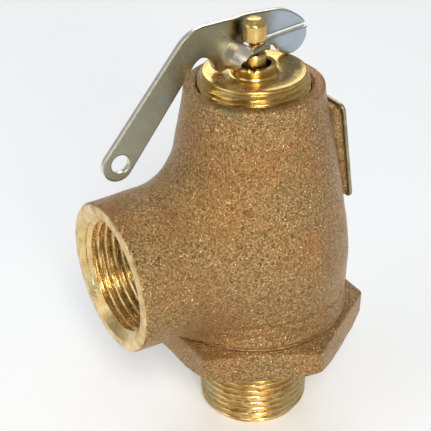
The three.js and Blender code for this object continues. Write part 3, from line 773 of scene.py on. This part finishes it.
def choose_foot_finish(centre, _normal):
    x, y, z = centre.T
    radius = np.hypot(x, y)
    chosen = np.zeros(len(x))
    chosen[(z < HEX_LOW - 0.9) | (radius < 16.6)] = 1
    return chosen


def inlet_foot():
    core = foot_core()
    low = (-28, -28, HEX_LOW - 0.4)
    high = (28, 28, SEAM_Z + 0.4)
    points, faces = surface_net(foot_field, low, high, CASTING_STEP)
    nut = new_object("foot_nut", points, faces)
    bore = INLET_BORE + 1.2
    bore_points, bore_faces = turned([(bore, HEX_LOW - 3), (bore, SEAM_Z + 3)], 96)
    combine(nut, new_object("foot_bore", bore_points, bore_faces), "DIFFERENCE")
    combine(core, nut, "UNION")
    soften(core)
    paint_where(core, [CAST, THREADED], choose_foot_finish)
    return install(core, "valve", "cast_bronze", "inlet_base")


def gasket_ring():
    points, faces = turned([
        (SOCKET_RADIUS, SEAM_Z + 0.1), (21.4, SEAM_Z + 0.04), (21.6, SEAM_Z + 0.15),
        (21.6, SEAM_Z + 0.43), (21.4, SEAM_Z + 0.54), (SOCKET_RADIUS, SEAM_Z + 0.5),
    ], 128, closed=True)
    made = new_object("gasket_ring", points, faces)
    soften(made, 50)
    made.data.materials.append(gasket_copper())
    return install(made, "valve", "gasket_metal", "base_gasket")


# ---------------------------------------------------------------- nameplate
def plate_field(x, y, z):
    """A thin plate with rounded corners, a raised rim and three ribs between blank fields."""
    corner = 1.6
    a = np.abs(y) - (PLATE_WIDTH / 2 - corner)
    b = np.abs(z) - (PLATE_HEIGHT / 2 - corner)
    outline = np.hypot(np.maximum(a, 0), np.maximum(b, 0)) + np.minimum(np.maximum(a, b), 0) - corner
    sheet = np.abs(x + PLATE_THICK / 2) - PLATE_THICK / 2
    solid = smooth_max(outline, sheet, 0.25)
    panel = smooth_max(outline + 1.0, np.abs(z) - 7.4, 0.6)
    ribs = np.full(x.shape, 1e3)
    for height in (-3.7, 0.0, 3.7):
        ribs = np.minimum(ribs, np.abs(z - height) - 0.22)
    pocket = smooth_max(panel, -ribs, 0.15)
    return smooth_max(solid, -smooth_max(pocket, -0.22 - x, 0.12), 0.1)


def name_plate():
    across = PLATE_WIDTH / 2 + 0.2
    up = PLATE_HEIGHT / 2 + 0.2
    points, faces = surface_net(plate_field, (-1.0, -across, -up), (0.2, across, up), PLATE_STEP)
    made = new_object("blank_nameplate", on_plate(points), faces)
    soften(made, 40)
    made.data.materials.append(plate_finish())
    return install(made, "valve", "plate_metal", "nameplate")


def plate_screw(name, side, node):
    """A domed drive screw with a shallow slot."""
    profile = [(0.9, -0.78), (0.9, 0.02), (1.55, 0.03), (1.78, 0.1), (1.8, 0.22)]
    for k in range(1, 9):
        turn = math.radians(90 * k / 9)
        profile.append((1.8 * math.cos(turn), 0.22 + 0.72 * math.sin(turn)))
    points, faces = turned(dense(profile, 0.2), 48)
    x, y, z = points.T
    slot = np.exp(-(y / 0.28) ** 4) * 0.3 * (z > 0.3)
    points = np.stack([z - slot, x, y + side * PLATE_SCREW], axis=1)
    made = new_object(name, on_plate(points), faces)
    soften(made, 45)
    made.data.materials.append(SMALL_ZINC)
    return install(made, "valve", "zinc_steel", node)


# ---------------------------------------------------------------- plug and stem
def adjusting_plug():
    profile = dense([
        (HUB_BORE, PLUG_LOW), (PLUG_CREST - 0.8, PLUG_LOW), (PLUG_CREST - PLUG_DEPTH, PLUG_LOW + 0.8),
        (PLUG_CREST - PLUG_DEPTH, 86.95), (11.1, 87.1), (11.3, 87.3), (11.35, 87.65), (11.2, 87.9),
        (10.9, 88.05), (10.0, PLUG_TOP), (8.4, 88.02), (7.0, 87.85), (5.8, 87.5), (5.3, 87.35),
        (4.9, 87.45), (HUB_RADIUS, 87.75), (HUB_RADIUS, HUB_TOP - 0.4),
        (HUB_RADIUS - 0.15, HUB_TOP - 0.12),
        (HUB_RADIUS - 0.45, HUB_TOP), (HUB_BORE + 0.4, HUB_TOP), (HUB_BORE + 0.1, HUB_TOP - 0.1),
        (HUB_BORE, HUB_TOP - 0.4), (HUB_BORE, 83.0),
    ], THREAD_STEP)

    def helix(angle, height, radius):
        outer = (radius > PLUG_CREST - 0.9) & (height < 87.0)
        fade = smooth_step(height, PLUG_LOW, PLUG_LOW + 1.2) * smooth_step(87.1 - height, 0.0, 0.7)
        turn = height / PLUG_PITCH - angle / (2 * math.pi)
        return np.where(outer, radius + PLUG_DEPTH * thread_height(turn) * fade, radius)

    points, faces = turned(profile, 128, closed=True, ripple=helix)
    points = stake_marks(points)
    made = new_object("turned_plug", points, faces)
    soften(made, 40)
    made.data.materials.append(BRASS)
    return install(made, "valve", "turned_brass", "adjusting_plug")


def stake_marks(points):
    """Small punched dents that lock the hub, one at its front left and one behind."""
    moved = points.copy()
    for turn in (math.radians(-128), math.radians(52)):
        centre = np.array([4.15 * math.cos(turn), 4.15 * math.sin(turn), HUB_TOP])
        away = np.linalg.norm(points - centre, axis=1)
        moved[:, 2] -= 0.55 * np.exp(-(away / 0.6) ** 2)
    return moved


def stem_rod():
    profile = [
        (STEM_RADIUS - 0.3, STEM_LOW), (STEM_RADIUS, STEM_LOW + 0.3), (STEM_RADIUS, NECK_LOW - 0.5),
        (STEM_RADIUS - 0.3, NECK_LOW - 0.1), (NECK_RADIUS + 0.2, NECK_LOW),
        (NECK_RADIUS, NECK_LOW + 0.2),
        (NECK_RADIUS, NECK_HIGH - 0.2), (NECK_RADIUS + 0.2, NECK_HIGH), (STEM_RADIUS - 0.15, NECK_HIGH),
        (STEM_RADIUS, NECK_HIGH + 0.15), (STEM_RADIUS, STEM_TOP - 1.35),
        (STEM_RADIUS - 0.1, STEM_TOP - 1.1),
        (STEM_RADIUS - 0.85, STEM_TOP - 0.3), (STEM_RADIUS - 1.05, STEM_TOP - 0.15),
        (STEM_RADIUS - 1.5, STEM_TOP - 0.05), (0.2, STEM_TOP),
    ]
    points, faces = turned(dense(profile, 0.35), 64)
    made = new_object("stem_rod", points, faces)
    soften(made, 45)
    made.data.materials.append(BRASS)
    return install(made, "lift", "turned_brass", "stem")


# ---------------------------------------------------------------- spring
def coil_spring():
    """Round wire in a helix whose end turns close up and lie flat."""
    count, sides = 420, 16
    t = np.linspace(0, 1, count)
    dead = 0.16
    low, high = SPRING_LOW + SPRING_WIRE, SPRING_HIGH - SPRING_WIRE
    climb = np.clip((t - dead) / (1 - 2 * dead), 0, 1)
    rest = 1.5 * SPRING_WIRE
    ends = rest * (np.minimum(t, dead) + np.maximum(0, t - 1 + dead)) / dead
    z = low + ends + (high - low - 2 * rest) * climb
    turn = 2 * math.pi * SPRING_TURNS * t
    middle = np.stack([SPRING_RADIUS * np.cos(turn), SPRING_RADIUS * np.sin(turn), z], axis=1)
    outward = np.stack([np.cos(turn), np.sin(turn), np.zeros(count)], axis=1)
    round_wire = np.linspace(0, 2 * math.pi, sides, endpoint=False)
    ring = middle[:, None] + SPRING_WIRE * (np.cos(round_wire)[None, :, None] * outward[:, None]
                                            + np.sin(round_wire)[None, :, None] * np.array([0, 0, 1.0]))
    points = np.vstack([ring.reshape(-1, 3), middle[0], middle[-1]])
    i, j = np.meshgrid(np.arange(count - 1), np.arange(sides), indexing="ij")
    a, b = i * sides + j, i * sides + (j + 1) % sides
    c, d = b + sides, a + sides
    k = np.arange(sides)
    last = (count - 1) * sides
    faces = np.vstack([
        np.stack([a, c, b], axis=2).reshape(-1, 3),
        np.stack([a, d, c], axis=2).reshape(-1, 3),
        np.stack([k, (k + 1) % sides, np.full(sides, len(points) - 2)], axis=1),
        np.stack([last + (k + 1) % sides, last + k, np.full(sides, len(points) - 1)], axis=1),
    ])
    made = new_object("coil_spring", points, faces)
    made.data.materials.append(spring_wire())
    install(made, "valve", "spring_steel", "spring")
    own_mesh(made)
    return made


# ---------------------------------------------------------------- lever
def bezier(a, b, c, count=10):
    t = np.linspace(0, 1, count + 1)[1:, None]
    a, b, c = np.array(a, float), np.array(b, float), np.array(c, float)
    return list((1 - t) ** 2 * a + 2 * t * (1 - t) * b + t ** 2 * c)


def arc(centre, radius, start, end, count=28):
    """Points on an arc from one angle to another, in degrees."""
    angle = np.radians(np.linspace(start, end, count))
    x = centre[0] + radius * np.cos(angle)
    z = centre[1] + radius * np.sin(angle)
    return list(np.stack([x, z], axis=1))


def lever_outline():
    """The sheet's outline in X and Z, counted round from the top of the arm."""
    points = [np.array((-16.9, 95.5))]
    points += arc(ARM_END, ARM_END_RADIUS, 140, 322)
    points += [np.array((-15.9, 87.4)), np.array((-13.4, 90.7))]
    for through, to in [
        ((-12.2, 92.3), (-11.0, 92.3)), ((-9.1, 92.0), (-8.6, 90.0)),
        ((-8.1, LEVER_FOOT), (-6.4, LEVER_FOOT)), ((-4.9, LEVER_FOOT), (-4.75, 89.6)),
    ]:
        points += bezier(points[-1], through, to)
    points.append(np.array((-4.7, 91.2)))
    points += bezier(points[-1], (-4.5, 92.1), (-3.2, 92.2))
    points += [np.array((1.2, 93.1)), np.array((5.2, 91.5))]
    points += arc(LOBE, LOBE_RADIUS, 200, 370, 40)
    points.append(np.array((15.4, 94.0)))
    for through, to in [((14.9, 95.0), (13.2, 96.2)), ((10.4, 98.3), (7.2, 98.5))]:
        points += bezier(points[-1], through, to)
    points += [np.array((0.7, 98.9)), np.array((-5.0, 99.15)), np.array((-10.1, 99.1))]
    points += bezier(points[-1], (-14.4, 98.8), (-16.9, 95.5))[:-1]
    return np.array(points)


OUTLINE = lever_outline()


def outline_distance(x, z):
    """Distance to the outline in the X-Z plane, negative inside it."""
    nearest = np.full(x.shape, 1e3)
    inside = np.zeros(x.shape, bool)
    for (x0, z0), (x1, z1) in zip(OUTLINE, np.roll(OUTLINE, -1, axis=0)):
        dx, dz = x1 - x0, z1 - z0
        length = max(dx * dx + dz * dz, 1e-9)
        t = np.clip(((x - x0) * dx + (z - z0) * dz) / length, 0, 1)
        nearest = np.minimum(nearest, np.hypot(x - x0 - t * dx, z - z0 - t * dz))
        crossing = (z0 > z) != (z1 > z)
        if dz != 0:
            inside ^= crossing & (x < x0 + (z - z0) * dx / dz)
    return np.where(inside, -nearest, nearest)


def sheet_half(x, y, z, offset, outline):
    """The sheet pushed out of its plane by offset(x, z), with the same thickness everywhere."""
    small = 0.05
    slope_x = (offset(x + small, z) - offset(x - small, z)) / (2 * small)
    slope_z = (offset(x, z + small) - offset(x, z - small)) / (2 * small)
    steep = np.sqrt(1 + np.minimum(slope_x ** 2 + slope_z ** 2, 9))
    sheet = np.abs(y - SHEET_MIDDLE - offset(x, z)) / steep - SHEET / 2
    return smooth_max(outline, sheet, 0.3)


def head_offset(x, z):
    return HEAD_BACK * smooth_step(x, -4.5, 1.0)


def strip_offset(x, z):
    """The strip comes forward out of the sheet inside a round-ended outline."""
    beside = np.minimum(x - STRIP_END[0], 0)
    above = (z - STRIP_END[1]) * (1 - smooth_step(x, -2.8, -1.2))
    forward = 1 - smooth_step(np.hypot(beside, above), STRIP_FULL_RADIUS, STRIP_END_RADIUS)
    return -STRIP_FORWARD * forward * (1 - smooth_step(x, *STRIP_BACK))


def lever_field_flat(x, z):
    """What depends on X and Z only: outline with the hole, the slit, the head's lower edge, the gap."""
    outline = outline_distance(x, z)
    hole = PULL_HOLE_RADIUS - np.hypot(x - PULL_HOLE[0], z - PULL_HOLE[1])
    outline = smooth_max(outline, hole, 0.25)
    line = np.interp(x, [p[0] for p in SLIT_LINE], [p[1] for p in SLIT_LINE])
    gap = SLIT_GAP / 2 - 1.6 * np.maximum(0, SLIT_START - x)
    behind = line - 3 * smooth_step(x, -6.6, -5.6) * (1 - smooth_step(x, 3.4, 4.8))
    return outline, line, behind, gap


def lever_field(x, y, z):
    if x.ndim == 3:
        flat = lever_field_flat(x[:, :1, :], z[:, :1, :])
        outline, line, behind, gap = [np.broadcast_to(f, x.shape) for f in flat]
    else:
        outline, line, behind, gap = lever_field_flat(x, z)
    upper = smooth_max(sheet_half(x, y, z, head_offset, outline), behind - z + gap, 0.15)
    lower = smooth_max(sheet_half(x, y, z, strip_offset, outline), z - line + gap, 0.15)
    return np.minimum(upper, lower)


def lever_sheet():
    low = (-35.4, -3.3, 69.4)
    high = (16.2, 5.2, 99.4)
    points, faces = surface_net(lever_field, low, high, LEVER_STEP)
    made = new_object("lever_sheet", points, faces)
    soften(made, 60)
    made.data.materials.append(zinc_sheet())
    return install(made, "lever", "zinc_steel", "lever")


# ---------------------------------------------------------------- carried-over CAD nodes
def finish_cad_nodes():
    """The hidden pieces inside keep their CAD shape and get a finish."""
    finishes = {
        "disc_holder": BRASS, "seat_insert": seat_plastic(), "insert_screw": SMALL_ZINC,
        "stem_pin": SMALL_ZINC, "lower_spring_washer": SMALL_ZINC, "upper_spring_washer": SMALL_ZINC,
    }
    for name, material in finishes.items():
        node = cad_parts[name]
        node.data.materials.clear()
        node.data.materials.append(material)


# ---------------------------------------------------------------- camera, lights and floor
def add_camera():
    a, t, y, r = CAMERA_TURN, CAMERA_PITCH, CAMERA_YAW, CAMERA_ROLL
    base = Vector((-math.sin(a), math.cos(a), 0))
    right0 = Vector((math.cos(a), math.sin(a), 0))
    ahead = base * math.cos(y) + right0 * math.sin(y)
    right = right0 * math.cos(y) - base * math.sin(y)
    forward = ahead * math.cos(t) + Vector((0, 0, -math.sin(t)))
    up = right.cross(forward)
    right2 = right * math.cos(r) + up * math.sin(r)
    up2 = up * math.cos(r) - right * math.sin(r)
    data = bpy.data.cameras.new("camera")
    data.lens = CAMERA_LENS
    data.sensor_width = 36
    data.clip_start = 0.01
    camera = bpy.data.objects.new("camera", data)
    bpy.context.scene.collection.objects.link(camera)
    turn = Matrix((right2, up2, -forward)).transposed().to_4x4()
    camera.matrix_world = Matrix.Translation(Vector(CAMERA_PLACE) * MM) @ turn
    bpy.context.scene.camera = camera


def area_light(name, place, size, power, colour):
    data = bpy.data.lights.new(name, "AREA")
    data.shape = "RECTANGLE"
    data.size, data.size_y = size
    data.energy = power
    data.color = colour
    light = bpy.data.objects.new(name, data)
    light.location = place
    aim = Vector(LIGHT_TARGET) - Vector(place)
    light.rotation_mode = "QUATERNION"
    light.rotation_quaternion = aim.to_track_quat("-Z", "Y")
    bpy.context.scene.collection.objects.link(light)


def add_lights():
    world = bpy.data.worlds.new("studio")
    world.use_nodes = True
    background = world.node_tree.nodes["Background"]
    background.inputs["Color"].default_value = WORLD_COLOUR
    background.inputs["Strength"].default_value = WORLD_STRENGTH
    bpy.context.scene.world = world
    bpy.context.scene.view_settings.view_transform = "Standard"
    for light in LIGHTS:
        area_light(*light)


def add_floor():
    far = FLOOR_HALF
    corners = [(-far, -far, 0), (far, -far, 0), (far, far, 0), (-far, far, 0)]
    floor = new_object("floor", corners, [(0, 1, 2, 3)], smooth=False)
    floor.data.materials.append(floor_paint())


add_camera()
CAST = cast_bronze()
MACHINED = machined_bronze()
THREADED = thread_bronze()
BRASS = turned_brass()
SMALL_ZINC = zinc_small()
body_casting()
inlet_foot()
gasket_ring()
name_plate()
plate_screw("plate_screw_upper", 1, "nameplate_screw_top")
plate_screw("plate_screw_lower", -1, "nameplate_screw_bottom")
adjusting_plug()
stem_rod()
coil_spring()
lever_sheet()
finish_cad_nodes()
add_lights()
add_floor()
